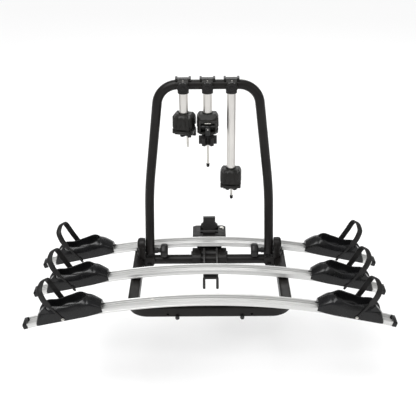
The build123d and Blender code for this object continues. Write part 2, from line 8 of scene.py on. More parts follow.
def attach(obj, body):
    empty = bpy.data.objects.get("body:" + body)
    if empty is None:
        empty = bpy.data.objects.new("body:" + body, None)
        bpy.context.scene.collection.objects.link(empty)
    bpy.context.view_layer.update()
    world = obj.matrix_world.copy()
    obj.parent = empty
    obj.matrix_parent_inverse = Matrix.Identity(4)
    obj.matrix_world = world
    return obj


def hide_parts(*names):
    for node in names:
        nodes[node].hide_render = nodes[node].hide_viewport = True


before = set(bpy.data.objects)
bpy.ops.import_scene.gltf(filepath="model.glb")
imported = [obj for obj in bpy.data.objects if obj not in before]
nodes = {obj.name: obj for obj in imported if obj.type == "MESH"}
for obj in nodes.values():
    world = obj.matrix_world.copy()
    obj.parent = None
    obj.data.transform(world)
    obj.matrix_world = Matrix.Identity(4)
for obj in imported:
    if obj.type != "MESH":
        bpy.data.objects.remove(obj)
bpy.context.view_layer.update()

# ------------------------------------------------------------------ sizes, in millimetres
MM = 0.001
SIDES = {"left": -1, "right": 1}

RAIL_YS = {"front": -430.0, "middle": -240.0, "rear": -50.0}
RAIL_MID_Z = 75.0
RAIL_ARC_R = 2117.0
RAIL_TIP_X = 609.0
RAIL_HALF_WIDTH = 23
RAIL_HALF_HEIGHT = 8.5
RAIL_IN_CAP = 6
RAIL_STEPS = 90
CAP_LENGTH = 16.0
ARC_Z = RAIL_MID_Z - RAIL_ARC_R

TRAY_CENTRE_X = 450.0
TRAY_HALF = 109.0
WHEEL_R = 340.0
TROUGH_LOW = 14.0

HOOP_Y = -101.0
HOOP_TOP_Z = 690.0
HOOP_PIVOT_Z = 68.0
GRIP_START_X = 149.0
CHEEK_X = 230
CHEEK_Z = 93
KNEE_X = 231
KNEE_Z = 66

PEDAL_X = 4.0
PEDAL_FRONT_Y = -257.0
PEDAL_PLATE_X = 23.0
PEDAL_END_Z = 1.6

ARM_X = {"left": -82.0, "middle": -3.0, "right": 75.0}
CLAW_TOP_Z = {"left": 593.0, "middle": 593.0, "right": 394.0}
CLAW_TURN_DEG = {"left": 165.0, "middle": 0.0, "right": 175.0}
ROD_TIP_Z = {"left": -138.0, "middle": -178.0, "right": -138.0}
TIPPED_RODS = ("middle", "right")


# ------------------------------------------------------------------ materials
MOTTLE_SCALE = 22.0
PLASTIC_GLOSS_SCALE = 60.0
METAL_GLOSS_SCALE = 35.0
DRAWN_LINE_SCALE = 260.0
GRAIN_DEPTH = 0.0006
DRAWN_LINE_DEPTH = 0.0003
# most of a noise's values lie between these two
NOISE_LOW = 0.3
NOISE_HIGH = 0.7


def new_material(name):
    material = bpy.data.materials.new(name)
    material.use_nodes = True
    tree = material.node_tree
    shader = tree.nodes["Principled BSDF"]
    place = tree.nodes.new("ShaderNodeTexCoord")
    return material, tree, shader, place.outputs["Object"]


def stretched(tree, place, stretch):
    mapping = tree.nodes.new("ShaderNodeMapping")
    mapping.inputs["Scale"].default_value = stretch
    tree.links.new(place, mapping.inputs["Vector"])
    return mapping.outputs["Vector"]


def noise(tree, vector, scale, detail=3.0):
    node = tree.nodes.new("ShaderNodeTexNoise")
    node.inputs["Scale"].default_value = scale
    node.inputs["Detail"].default_value = detail
    tree.links.new(vector, node.inputs["Vector"])
    return node.outputs["Fac"]


def remap(tree, value, out_low, out_high):
    node = tree.nodes.new("ShaderNodeMapRange")
    node.inputs["From Min"].default_value = NOISE_LOW
    node.inputs["From Max"].default_value = NOISE_HIGH
    node.inputs["To Min"].default_value = out_low
    node.inputs["To Max"].default_value = out_high
    tree.links.new(value, node.inputs["Value"])
    return node.outputs["Result"]


def two_tone(tree, value, dark, light):
    ramp = tree.nodes.new("ShaderNodeValToRGB")
    ramp.color_ramp.elements[0].position = NOISE_LOW
    ramp.color_ramp.elements[0].color = (*dark, 1)
    ramp.color_ramp.elements[1].position = NOISE_HIGH
    ramp.color_ramp.elements[1].color = (*light, 1)
    tree.links.new(value, ramp.inputs["Fac"])
    return ramp.outputs["Color"]


def bumped(tree, shader, height, strength, distance):
    bump = tree.nodes.new("ShaderNodeBump")
    bump.inputs["Strength"].default_value = strength
    bump.inputs["Distance"].default_value = distance
    tree.links.new(height, bump.inputs["Height"])
    tree.links.new(bump.outputs["Normal"], shader.inputs["Normal"])


def moulded(name, dark, light, rough_low, rough_high, grain, bump, gloss=0.3):
    """Moulded plastic, rubber or powder coat: mottled colour, uneven gloss and a fine grain."""
    material, tree, shader, place = new_material(name)
    shader.inputs["Specular IOR Level"].default_value = gloss
    broad = noise(tree, place, MOTTLE_SCALE, 4.0)
    tree.links.new(two_tone(tree, broad, dark, light), shader.inputs["Base Color"])
    roughness = remap(tree, noise(tree, place, PLASTIC_GLOSS_SCALE), rough_low, rough_high)
    tree.links.new(roughness, shader.inputs["Roughness"])
    bumped(tree, shader, noise(tree, place, grain, 2.0), bump, GRAIN_DEPTH)
    return material


def drawn_metal(name, dark, light, stretch, rough_low, rough_high, bump, metallic=1.0):
    """Extruded or drawn metal: fine lines that run along it, and uneven gloss."""
    material, tree, shader, place = new_material(name)
    shader.inputs["Metallic"].default_value = metallic
    lines = noise(tree, stretched(tree, place, stretch), DRAWN_LINE_SCALE, 4.0)
    tree.links.new(two_tone(tree, lines, dark, light), shader.inputs["Base Color"])
    roughness = remap(tree, noise(tree, place, METAL_GLOSS_SCALE), rough_low, rough_high)
    tree.links.new(roughness, shader.inputs["Roughness"])
    bumped(tree, shader, lines, bump, DRAWN_LINE_DEPTH)
    return material


POWDER = moulded("powder_coat_black", (0.006, 0.005, 0.005), (0.010, 0.009, 0.008),
                 0.34, 0.44, 900.0, 0.2, 0.2)
COUPLING = moulded("coupling_coat", (0.014, 0.013, 0.013), (0.024, 0.023, 0.022),
                   0.4, 0.52, 700.0, 0.25)
TRAY = moulded("tray_plastic", (0.004, 0.004, 0.004), (0.008, 0.008, 0.009),
               0.22, 0.3, 1300.0, 0.15)
CLAW = moulded("claw_plastic", (0.007, 0.007, 0.006), (0.014, 0.013, 0.012),
               0.34, 0.46, 1100.0, 0.25, 0.26)
KNOB = moulded("knob_plastic", (0.006, 0.006, 0.006), (0.012, 0.011, 0.011),
               0.36, 0.48, 1000.0, 0.25, 0.26)
STRAP = moulded("strap_rubber", (0.005, 0.005, 0.005), (0.010, 0.009, 0.009),
                0.45, 0.6, 1600.0, 0.25)
RAIL = drawn_metal("rail_anodised", (0.60, 0.60, 0.59), (0.65, 0.65, 0.64), (0.02, 1.0, 1.0),
                   0.42, 0.47, 0.03, 0.6)
TUBE = drawn_metal("arm_tube_anodised", (0.60, 0.585, 0.56), (0.74, 0.72, 0.69), (1.0, 1.0, 0.02),
                   0.28, 0.4, 0.12)
ZINC = drawn_metal("zinc_steel", (0.50, 0.49, 0.46), (0.68, 0.66, 0.62), (1.0, 1.0, 1.0),
                   0.26, 0.4, 0.12)
DARK_BOLT = drawn_metal("black_oxide_bolt", (0.03, 0.03, 0.03), (0.06, 0.06, 0.06), (1.0, 1.0, 1.0),
                        0.35, 0.5, 0.12)


# ------------------------------------------------------------------ mesh helpers
SAME_POINT = 1e-6
CAD_SAME_POINT = 0.00002
BEVEL_SEGMENTS = 3
BEVEL_FROM = math.radians(30.0)


def finish_piece(obj, body, material, soft_deg):
    """Material, shading and body; edges flatter than soft_deg are shaded smooth."""
    mesh = obj.data
    mesh.materials.clear()
    mesh.materials.append(material)
    mesh.shade_smooth()
    mesh.set_sharp_from_angle(angle=math.radians(soft_deg))
    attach(obj, body)
    return obj


def mesh_object(name, points, faces):
    mesh = bpy.data.meshes.new(name)
    mesh.from_pydata([tuple(p) for p in points], [], faces)
    solid = bmesh.new()
    solid.from_mesh(mesh)
    bmesh.ops.remove_doubles(solid, verts=solid.verts, dist=SAME_POINT)
    bmesh.ops.recalc_face_normals(solid, faces=solid.faces)
    solid.to_mesh(mesh)
    solid.free()
    obj = bpy.data.objects.new(name, mesh)
    bpy.context.scene.collection.objects.link(obj)
    return obj


def loft(rings):
    """Faces between rings of the same number of points, and one face across each end."""
    count = len(rings[0])
    points = [p for ring in rings for p in ring]
    faces = []
    for r in range(len(rings) - 1):
        for i in range(count):
            j = (i + 1) % count
            faces.append((r * count + i, r * count + j, (r + 1) * count + j, (r + 1) * count + i))
    faces.append(tuple(range(count - 1, -1, -1)))
    last = (len(rings) - 1) * count
    faces.append(tuple(range(last, last + count)))
    return points, faces


def add_bevel(obj, width_mm):
    bevel = obj.modifiers.new("bevel", "BEVEL")
    bevel.width = width_mm * MM
    bevel.segments = BEVEL_SEGMENTS
    bevel.limit_method = "ANGLE"
    bevel.angle_limit = BEVEL_FROM
    bevel.use_clamp_overlap = True
    bevel.miter_outer = "MITER_ARC"


def dress(name, material, bevel_mm=0.0):
    """Gives a CAD node its finish, and softened edges where it has room for them."""
    obj = nodes[name]
    for slot in obj.material_slots:
        slot.material = material
    if bevel_mm:
        weld = obj.modifiers.new("weld", "WELD")
        weld.merge_threshold = CAD_SAME_POINT
        add_bevel(obj, bevel_mm)
        obj.modifiers.new("weighted", "WEIGHTED_NORMAL")


def soften(name, material, grain_mm, rounds):
    """Finish for a moulded CAD node whose edges all melt into one another."""
    dress(name, material)
    remesh = nodes[name].modifiers.new("remesh", "REMESH")
    remesh.mode = "VOXEL"
    remesh.voxel_size = grain_mm * MM
    remesh.use_smooth_shade = True
    smooth = nodes[name].modifiers.new("smooth", "SMOOTH")
    smooth.factor = 0.5
    smooth.iterations = rounds


def turned(centre, axis, profile, steps=32):
    """Rings of a turned piece: profile of (along, radius) about an axis through centre."""
    along = Vector(axis).normalized()
    across = along.orthogonal().normalized()
    other = along.cross(across)
    rings = []
    for distance, radius in profile:
        rings.append([(Vector(centre) + along * distance
                       + (across * math.cos(a) + other * math.sin(a)) * radius) * MM
                      for a in (math.tau * i / steps for i in range(steps))])
    return rings


def joined_pieces(name, parts, body, material, soft_deg=40.0):
    """One piece from several closed shells, each given as (points, faces)."""
    points = []
    faces = []
    for part_points, part_faces in parts:
        base = len(points)
        points += list(part_points)
        faces += [tuple(base + i for i in face) for face in part_faces]
    return finish_piece(mesh_object(name, points, faces), body, material, soft_deg)


# ------------------------------------------------------------------ rails
def rail_point(x, y, z, rail_y, side):
    """A point of the straight rail at the top of its arc, swung along the arc by a tray's place."""
    a = math.asin(TRAY_CENTRE_X / RAIL_ARC_R)
    up = z - ARC_Z
    return Vector((side * (x * math.cos(a) + up * math.sin(a)), rail_y + y,
                   -x * math.sin(a) + up * math.cos(a) + ARC_Z)) * MM


def arc_point(angle, y, rise, rail_y):
    """A point at an angle along the arc, y across the rail and rise above its middle."""
    radius = RAIL_ARC_R + rise
    return Vector((radius * math.sin(angle), rail_y + y, ARC_Z + radius * math.cos(angle))) * MM


def rail_outline():
    """Half of the extrusion's section, from the middle of its underside round to the groove's floor."""
    return [(0, -5.2), (4.2, -5.2), (4.2, -8.5), (21.4, -8.5), (23, -6.9), (23, -2.6), (22.3, -2.0),
            (22.3, -0.8), (23, -0.2), (23, 6.9), (22.4, 8.1), (21.2, 8.5), (19.2, 8.5), (18.2, 7.6),
            (18, 1.2), (17.2, -0.2), (16.6, -0.5), (16.4, -7.0), (12.8, -7.0), (12.6, -0.5), (5.0, -0.5),
            (4.6, 0.5), (1.0, 0.5), (0.8, -1.2), (0, -1.2)]


def mirrored_ring(half):
    return half + [(-y, z) for y, z in reversed(half) if y > 0]


def make_rail(place, rail_y):
    half = math.asin((RAIL_TIP_X - CAP_LENGTH + RAIL_IN_CAP) / RAIL_ARC_R)
    outline = mirrored_ring(rail_outline())
    rings = [[arc_point(-half + 2 * half * i / RAIL_STEPS, y, z, rail_y) for y, z in outline]
             for i in range(RAIL_STEPS + 1)]
    points, faces = loft(rings)
    rail = mesh_object(f"rail_{place}", points, faces)
    finish_piece(rail, "platform", RAIL, 24.0)
    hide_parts(f"wheel_rail_{place}")


def cap_side(margin):
    """Half of a cap's underside and side, which the sleeve and the end plate share."""
    y = RAIL_HALF_WIDTH + margin
    z = RAIL_HALF_HEIGHT + margin
    return y, z, [(0, -z), (y - 4, -z), (y - 1.2, -z + 1.2), (y, -z + 4), (y, z - 4), (y - 1.2, z - 1.2)]


def sleeve_outline(margin):
    """U-shaped sleeve round the rail's end: open over the groove."""
    y, z, outline = cap_side(margin)
    return outline + [(y - 3.4, z), (18.6, z), (17.2, z - 1.2), (17.0, 1.4), (15.4, 0.2), (0, 0.2)]


def plate_outline(margin):
    """Solid plate that closes the rail's end."""
    y, z, outline = cap_side(margin)
    return outline + [(y - 4, z), (0, z)]


# (distance back from the rail's tip, how far the cap stands out from the rail there)
SLEEVE_LEVELS = ((CAP_LENGTH, 0.2), (15.4, 0.75), (3.0, 0.75))
PLATE_LEVELS = ((13.0, 0.7), (1.6, 0.75), (0.5, 0.2), (0.05, -1.0))


def cap_shell(outline_at, levels, rail_y, side):
    tip = math.asin(RAIL_TIP_X / RAIL_ARC_R)
    per_mm = 1 / RAIL_ARC_R
    return loft([[arc_point(side * (tip - back * per_mm), y, z, rail_y)
                  for y, z in mirrored_ring(outline_at(margin))] for back, margin in levels])


def make_end_caps():
    parts = []
    for rail_y in RAIL_YS.values():
        for side in SIDES.values():
            parts.append(cap_shell(sleeve_outline, SLEEVE_LEVELS, rail_y, side))
            parts.append(cap_shell(plate_outline, PLATE_LEVELS, rail_y, side))
    caps = joined_pieces("rail_end_cap_set", parts, "platform", TRAY, 38.0)
    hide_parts("rail_end_caps")


# ------------------------------------------------------------------ wheel trays
def between(x, table):
    """Value at x on a smooth curve through a table of (x, value) that doesn't overshoot its points."""
    if x <= table[0][0]:
        return table[0][1]
    if x >= table[-1][0]:
        return table[-1][1]
    slopes = [(v1 - v0) / (x1 - x0) for (x0, v0), (x1, v1) in zip(table, table[1:])]
    leans = [slopes[0]]
    for before, after in zip(slopes, slopes[1:]):
        leans.append(0.0 if before * after <= 0 else 2 * before * after / (before + after))
    leans.append(slopes[-1])
    k = next(i for i in range(len(slopes)) if x <= table[i + 1][0])
    (x0, v0), (x1, v1) = table[k], table[k + 1]
    step = x1 - x0
    t = (x - x0) / step
    return ((1 + 2 * t) * (1 - t) ** 2 * v0 + t * (1 - t) ** 2 * step * leans[k]
            + t * t * (3 - 2 * t) * v1 + t * t * (t - 1) * step * leans[k + 1])


def eased(t):
    t = min(1.0, max(0.0, t))
    return t * t * (3 - 2 * t)


# (distance from the outer end, value): the curve between them is smooth
TRAY_TOP = [(-6, 3), (9, 34), (25, 48), (44, 56), (78, 50), (120, 54.5), (155, 60), (180, 54),
            (200, 38), (215, 21)]
TRAY_WIDTH = [(-6, 33), (6, 36), (150, 36), (185, 33), (205, 28), (215, 24.8)]
TRAY_START = -6
TRAY_END = 215
OUTER_PART_END = 60
INNER_PART_START = 144
TRAY_UNDERSIDE = 9.6
TRAY_CHANNEL_HALF = 24.2
SKIRT_LOW = -3.6
SHOULDER_SHARE = 0.62
FLOOR_LOWEST = 10.6
MOUTH_HALF = 18.5
BOWL_WIDTH = 27.0
BOWL_MIDDLE = 135.0
BOWL_END = 173.0
NEAR_RIM_DROP = 8.0
NEAR_DROP_START = 75
NEAR_DROP_LENGTH = 40
NEAR_DROP_END = 150
NEAR_RISE_LENGTH = 30
LEAST_WALL = 5
FLOOR_FADE = 11
MOUTH_SWELL_START = 50
MOUTH_SWELL_LENGTH = 60
BOWL_SINK_START = 90
BOWL_SINK_LENGTH = 45
BOWL_EXTRA_DEPTH = 13.0
RIM_AT_END = 1.0


def bowl_rim(s):
    """Half width of the trough's mouth: parallel at first, then half an ellipse."""
    if s <= BOWL_MIDDLE:
        return MOUTH_HALF + (BOWL_WIDTH - MOUTH_HALF) * eased((s - MOUTH_SWELL_START) / MOUTH_SWELL_LENGTH)
    along = (s - BOWL_MIDDLE) / (BOWL_END - BOWL_MIDDLE)
    return max(BOWL_WIDTH * math.sqrt(max(0.0, 1 - along * along)), RIM_AT_END)


def trough_floor(s):
    """Height of the trough's floor: the arc of a wheel, sunk deeper in the bowl."""
    wheel = TROUGH_LOW - 2 + WHEEL_R - math.sqrt(WHEEL_R ** 2 - (s - TROUGH_LOW) ** 2)
    return wheel - BOWL_EXTRA_DEPTH * eased((s - BOWL_SINK_START) / BOWL_SINK_LENGTH)


def tray_section(s, rim_drop):
    """Half of the tray's section at s from its outer end: underside, skirt, wall, rim, then trough."""
    crown = between(s, TRAY_TOP)
    drop_in = eased((s - NEAR_DROP_START) / NEAR_DROP_LENGTH)
    drop_out = 1 - eased((s - NEAR_DROP_END) / NEAR_RISE_LENGTH)
    top = crown - rim_drop * drop_in * drop_out
    wide = between(s, TRAY_WIDTH)
    rim = min(bowl_rim(s), wide - LEAST_WALL)
    shoulder = top * SHOULDER_SHARE
    floor = min(max(trough_floor(s), FLOOR_LOWEST), top - 0.4)
    floor = crown - (crown - floor) * eased(rim / FLOOR_FADE)
    low = SKIRT_LOW
    drop = top - floor
    blend = min(1.0, max(drop, 0.0) / 12)
    underside = [(0, TRAY_UNDERSIDE), (TRAY_CHANNEL_HALF, TRAY_UNDERSIDE), (TRAY_CHANNEL_HALF, low)]
    skirt = [(wide - 0.4, low), (wide, low + 1.2), (wide, low + (shoulder - low) * 0.45),
             (wide - 0.3, shoulder - 2.0)]
    wall = [(wide - 1.4, shoulder + 1.0), (wide - 3.0, shoulder + (top - shoulder) * 0.4),
            (rim + (wide - rim) * 0.42, shoulder + (top - shoulder) * 0.78),
            (rim + (wide - rim) * 0.14, shoulder + (top - shoulder) * 0.96)]
    mouth = [(rim, top), (rim - 1.2 * blend, top - 0.5 * blend), (rim - 2.0 * blend, top - 2.4 * blend)]
    trough = [(max(rim - 3.0, rim * 0.8), floor + drop * 0.45),
              (max(rim - 5.0, rim * 0.65), floor + drop * 0.12), (rim * 0.5, floor + drop * 0.02), (0, floor)]
    return underside + skirt + wall + mouth + trough


def tray_stations():
    """Places of the cross-sections: close together at the ends, where the shape changes fastest."""
    outer = list(range(TRAY_START, OUTER_PART_END, 3))
    middle = list(range(OUTER_PART_END, INNER_PART_START, 6))
    return outer + middle + list(range(INNER_PART_START, TRAY_END, 2)) + [TRAY_END]


def tray_mesh(rail_y, side):
    rings = []
    for s in tray_stations():
        far_half = tray_section(s, 0.0)
        near_half = tray_section(s, NEAR_RIM_DROP)
        ring = far_half + [(-y, v) for y, v in reversed(near_half[1:-1])]
        rings.append([rail_point(TRAY_HALF - s, y, RAIL_MID_Z + v, rail_y, side) for y, v in ring])
    return loft(rings)


RIB_LINE = [(16, 36), (30, 35.4), (46, 34), (62, 32.4), (78, 31)]
RIB_IN = 34.8
RIB_OUT = 36.7
RIB_HALF_WIDTH = 0.9
NUB_PROFILE = [(0, 0.6), (0.8, 2.3), (9, 2.5), (12, 1.6), (13, 0.4)]
NUB_S = 2 * TRAY_HALF - 6
NUB_RISE = 13


def side_rib(end, rail_y, side):
    """Thin raised line on one side face of the tray."""
    section = ((end * RIB_IN, -RIB_HALF_WIDTH), (end * RIB_OUT, -RIB_HALF_WIDTH * 0.4),
               (end * RIB_OUT, RIB_HALF_WIDTH * 0.4), (end * RIB_IN, RIB_HALF_WIDTH))
    return loft([[rail_point(TRAY_HALF - s, y, RAIL_MID_Z + v + dv, rail_y, side) for y, dv in section]
                 for s, v in RIB_LINE])


def on_tray(rings, s, y, v, rail_y, side, x_sign=1):
    """Moves rings made about the origin to a place on a tray, s from its outer end."""
    return [[rail_point(TRAY_HALF - s + x_sign * p.x / MM, y + p.y / MM, RAIL_MID_Z + v + p.z / MM,
                        rail_y, side) for p in ring] for ring in rings]


def make_tray(place, rail_y, side_name):
    side = SIDES[side_name]
    body = f"wheel_tray_{place}_{side_name}"
    points, faces = tray_mesh(rail_y, side)
    tray = mesh_object(f"tray_{place}_{side_name}", points, faces)
    smooth = tray.modifiers.new("subdivide", "SUBSURF")
    smooth.levels = 1
    smooth.render_levels = 1
    finish_piece(tray, body, TRAY, 60.0)
    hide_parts(f"wheel_tray_{place}_{side_name}")
    nub = turned((0, 0, 0), (1, 0, 0), NUB_PROFILE, 12)
    parts = [loft(on_tray(nub, NUB_S, 0, NUB_RISE, rail_y, side, -1))]
    parts += [side_rib(end, rail_y, side) for end in (-1, 1)]
    joined_pieces(f"tray_ribs_{place}_{side_name}", parts, body, TRAY, 50.0)


# ------------------------------------------------------------------ wheel straps
# the band's line: (distance from the tray's outer end, height, place across the rail)
NEAR_LEG = [(87, 6, -37.6), (78, 24, -37.9), (68, 44, -38.3), (60, 62, -38.8), (50, 86, -39.4),
            (46, 110, -38.6)]
LOOP = [(44.5, 124, -31), (49, 134, -17), (54, 138, 0), (58, 133, 17), (59, 122, 31)]
FAR_LEG = [(61.5, 106, 38.4), (67, 84, 39.4), (74, 62, 38.9), (80.5, 42, 38.4), (84, 24, 37.9), (87, 6, 37.6)]
STRAP_STEPS = 8
STRAP_NARROW = 3.2
STRAP_WIDE = 9.6
STRAP_THICK = 1.9
# how many points along the line the band widens from, and over
WIDENS_FROM = 2.6
WIDENS_OVER = 0.9
SMOOTH_ENDS = 4
STRAP_LEAN = math.radians(16)
TOOTH_RISE = 0.55
BOLT_PROFILE = [(0, 5.2), (1.6, 5.2), (2.0, 4.6), (2.2, 4.2), (3.8, 3.9), (4.6, 2.6), (4.9, 0.5)]
BOLT_S = 87
BOLT_OUT = 38.0
BOLT_RISE = 6
TAIL_S = 89
TAIL_SLANT = 0.3
TAIL_OUT = -37.8
# (height, half width) of the strap's loose end
TAIL_LEVELS = ((10, 4.0), (4, 4.6), (-3, 5.2), (-7, 5.0), (-9.5, 3.6), (-10.5, 1.4))


def smooth_line(points, steps):
    """Catmull-Rom line through the points."""
    line = []
    count = len(points)
    for i in range(count - 1):
        p0 = Vector(points[max(i - 1, 0)])
        p1 = Vector(points[i])
        p2 = Vector(points[i + 1])
        p3 = Vector(points[min(i + 2, count - 1)])
        for k in range(steps):
            t = k / steps
            line.append(0.5 * (2 * p1 + (p2 - p0) * t + (2 * p0 - 5 * p1 + 4 * p2 - p3) * t * t
                               + (3 * p1 - p0 - 3 * p2 + p3) * t * t * t))
    line.append(Vector(points[-1]))
    return line


def strap_section(half, tooth):
    thick = STRAP_THICK
    return [(-half, -thick * 0.6), (-half, thick * 0.6), (-half + 0.8, thick), (-half + 2.4, thick),
            (-half + 3.0, thick + tooth), (half - 3.0, thick + tooth), (half - 2.4, thick),
            (half - 0.8, thick), (half, thick * 0.6), (half, -thick * 0.6), (half - 0.8, -thick),
            (-half + 0.8, -thick)]


def strap_band(rail_y, side):
    """The band as rings across it, in order along its line, with ratchet teeth on the outer face."""
    route = NEAR_LEG + LOOP + FAR_LEG
    line = smooth_line(route, STRAP_STEPS)
    rings = []
    for k, (s, v, y) in enumerate(line):
        before = line[max(k - 1, 0)]
        after = line[min(k + 1, len(line) - 1)]
        along = Vector((-(after.x - before.x), after.z - before.z, after.y - before.y)).normalized()
        across = Vector((math.cos(STRAP_LEAN), 0, -math.sin(STRAP_LEAN)))
        across = (across - along * across.dot(along)).normalized()
        outward = along.cross(across).normalized()
        centre = Vector((TRAY_HALF - s, y, RAIL_MID_Z + v))
        index = k / STRAP_STEPS
        half = STRAP_NARROW + (STRAP_WIDE - STRAP_NARROW) * eased((index - WIDENS_FROM) / WIDENS_OVER)
        tooth = TOOTH_RISE if (k % 2 and SMOOTH_ENDS < index < len(route) - SMOOTH_ENDS) else 0.0
        rings.append([rail_point(*(centre + across * a - outward * b), rail_y, side)
                      for a, b in strap_section(half, tooth)])
    return loft(rings)


def make_strap(place, rail_y, side_name):
    side = SIDES[side_name]
    body = f"wheel_tray_{place}_{side_name}"
    band = joined_pieces(f"strap_{place}_{side_name}", [strap_band(rail_y, side)], body, STRAP, 42.0)
    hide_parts(f"wheel_strap_{place}_{side_name}")
    make_strap_bolt(place, rail_y, side_name, 1)
    if place == "front":
        make_strap_bolt(place, rail_y, side_name, -1)
    else:
        make_strap_tail(place, rail_y, side_name)


def make_strap_bolt(place, rail_y, side_name, end):
    """Plated bolt head that holds an end of the strap to the tray's skirt."""
    head = turned((0, 0, 0), (0, end, 0), BOLT_PROFILE, 20)
    shell = loft(on_tray(head, BOLT_S, end * BOLT_OUT, BOLT_RISE, rail_y, SIDES[side_name]))
    edge = "near" if end < 0 else "far"
    joined_pieces(f"strap_bolt_{place}_{side_name}_{edge}", [shell], f"wheel_tray_{place}_{side_name}",
                  ZINC)


def make_strap_tail(place, rail_y, side_name):
    """Loose end of the strap: a rounded tab that hangs just below the skirt."""
    rings = []
    for v, half in TAIL_LEVELS:
        s = TAIL_S + (TAIL_LEVELS[0][0] - v) * TAIL_SLANT
        section = ((-half, 0), (-half * 0.7, 3.2), (half * 0.7, 3.2), (half, 0), (0, -1))
        rings.append([rail_point(TRAY_HALF - s + a, TAIL_OUT - b, RAIL_MID_Z + v, rail_y, SIDES[side_name])
                      for a, b in section])
    joined_pieces(f"strap_tail_{place}_{side_name}", [loft(rings)], f"wheel_tray_{place}_{side_name}",
                  STRAP, 50.0)


# ------------------------------------------------------------------ small solid shapes
def ring_shell(centre, axis, major, minor, steps=40, sides=10):
    """Closed ring of round section about an axis."""
    along = Vector(axis).normalized()
    across = along.orthogonal().normalized()
    other = along.cross(across)
    points = []
    for i in range(steps):
        a = math.tau * i / steps
        out = across * math.cos(a) + other * math.sin(a)
        for j in range(sides):
            b = math.tau * j / sides
            point = Vector(centre) + out * (major + minor * math.cos(b)) + along * minor * math.sin(b)
            points.append(point * MM)
    faces = []
    for i in range(steps):
        for j in range(sides):
            k, m = (i + 1) % steps, (j + 1) % sides
            faces.append((i * sides + j, k * sides + j, k * sides + m, i * sides + m))
    return points, faces


def soft_block(low, high, edge):
    """Box whose twelve edges are cut back by edge, ready for smooth shading."""
    centre = (Vector(low) + Vector(high)) / 2
    half = (Vector(high) - Vector(low)) / 2
    rings = []
    for height, inset in ((-half.z, edge), (-half.z + edge, 0), (half.z - edge, 0), (half.z, edge)):
        x, y = half.x - inset, half.y - inset
        cut = min(edge, x * 0.5, y * 0.5)
        outline = [(x - cut, -y), (x, cut - y), (x, y - cut), (x - cut, y),
                   (cut - x, y), (-x, y - cut), (-x, cut - y), (cut - x, -y)]
        rings.append([(centre + Vector((px, py, height))) * MM for px, py in outline])
    return loft(rings)


def lobed(centre, axis, profile, lobes, depth, steps=72):
    """Turned shape whose radius waves in and out, as on a grip."""
    rings = turned(centre, axis, profile, steps)
    waved = []
    for (distance, _), ring in zip(profile, rings):
        middle = (Vector(centre) + Vector(axis).normalized() * distance) * MM
        waved.append([middle + (point - middle) * (1 + depth * math.cos(lobes * math.tau * i / steps))
                      for i, point in enumerate(ring)])
    return loft(waved)


# ------------------------------------------------------------------ claws
BACK_X = 36.6
BACK_Y = 35.6
BACK_STEPS = 72
# powers that square up the arc of the back, across it and outwards
BACK_SQUARE_X = 0.8
BACK_SQUARE_Y = 0.75
FLUTE_PITCH = math.radians(25)
FLUTE_DEPTH = 0.12
FLUTE_LIMIT = math.radians(64)
FLUTE_FADE = math.radians(8)
# (height from the claw's top, share of the full size there, share of the flutes' depth)
BODY_BACK = [(-0.5, 0.58, 0), (-2.5, 0.70, 0), (-7, 0.83, 0.1), (-13, 0.92, 0.6), (-20, 0.97, 1),
             (-32, 1.0, 1), (-41, 1.0, 0.8), (-45, 1.0, 0), (-48, 0.99, 0), (-49, 0.96, 0)]
JAW_BACK = [(-56.0, 0.94, 0), (-57.0, 0.97, 0), (-59.5, 0.97, 0), (-63, 0.92, 0), (-66, 0.83, 0),
            (-67.6, 0.7, 0)]
COLLAR_PROFILE = [(-2, 18.4), (1.5, 18.4), (2.6, 17.8), (3.0, 16.6), (3.0, 15.2)]
BOLT_AXIS_Y = -40
BOLT_AXIS_Z = -34
CROSS_HALF = 25.4
CROSS_PROFILE = [(0, 3.0), (0.6, 3.8), (50.2, 3.8), (50.8, 3.0)]
PIP_PROFILE = [(0, 2.4), (0.7, 2.2), (1.1, 1.2), (1.2, 0.2)]
ROD_TOP = -30
ROD_R = 4.0
ROD_IN_TIP = 10
# opposite corners of the small blocks, from the claw's top
SLOT_STRIP = ((-10, -48.6, -21.8), (10, -44, -19.2))
STEM = ((-8, -51, -65), (8, -46.6, -35.5))
EYE = ((-7, -47.5, -41), (7, -35.5, -29.5))
PIP_PLACE = (0, -50.8, -41)


def claw_point(arm, x, y, z):
    """A point given from a claw's top, with the claw's working side towards -y."""
    turn = math.radians(CLAW_TURN_DEG[arm])
    return Vector((ARM_X[arm] + x * math.cos(turn) - y * math.sin(turn),
                   HOOP_Y + x * math.sin(turn) + y * math.cos(turn), CLAW_TOP_Z[arm] + z)) * MM


def claw_shell(arm, levels):
    """Rounded back of a claw: a fluted arc, closed flat across the claw's middle."""
    rings = []
    for z, reach, flute in levels:
        ring = []
        for k in range(BACK_STEPS + 1):
            angle = math.radians(-90 + 180 * k / BACK_STEPS)
            wave = 0.5 + 0.5 * math.cos(math.tau * angle / FLUTE_PITCH)
            near_middle = eased((FLUTE_LIMIT - abs(angle)) / FLUTE_FADE)
            size = reach * (1 - FLUTE_DEPTH * flute * wave * near_middle)
            x = BACK_X * size * math.copysign(abs(math.sin(angle)) ** BACK_SQUARE_X, angle)
            y = BACK_Y * size * abs(math.cos(angle)) ** BACK_SQUARE_Y
            ring.append(claw_point(arm, x, y, z))
        rings.append(ring)
    return loft(rings)


def in_claw(arm, shape):
    """Moves a closed shape, made about a claw's own origin, to its claw."""
    points, faces = shape
    return [claw_point(arm, *(Vector(p) / MM)) for p in points], faces


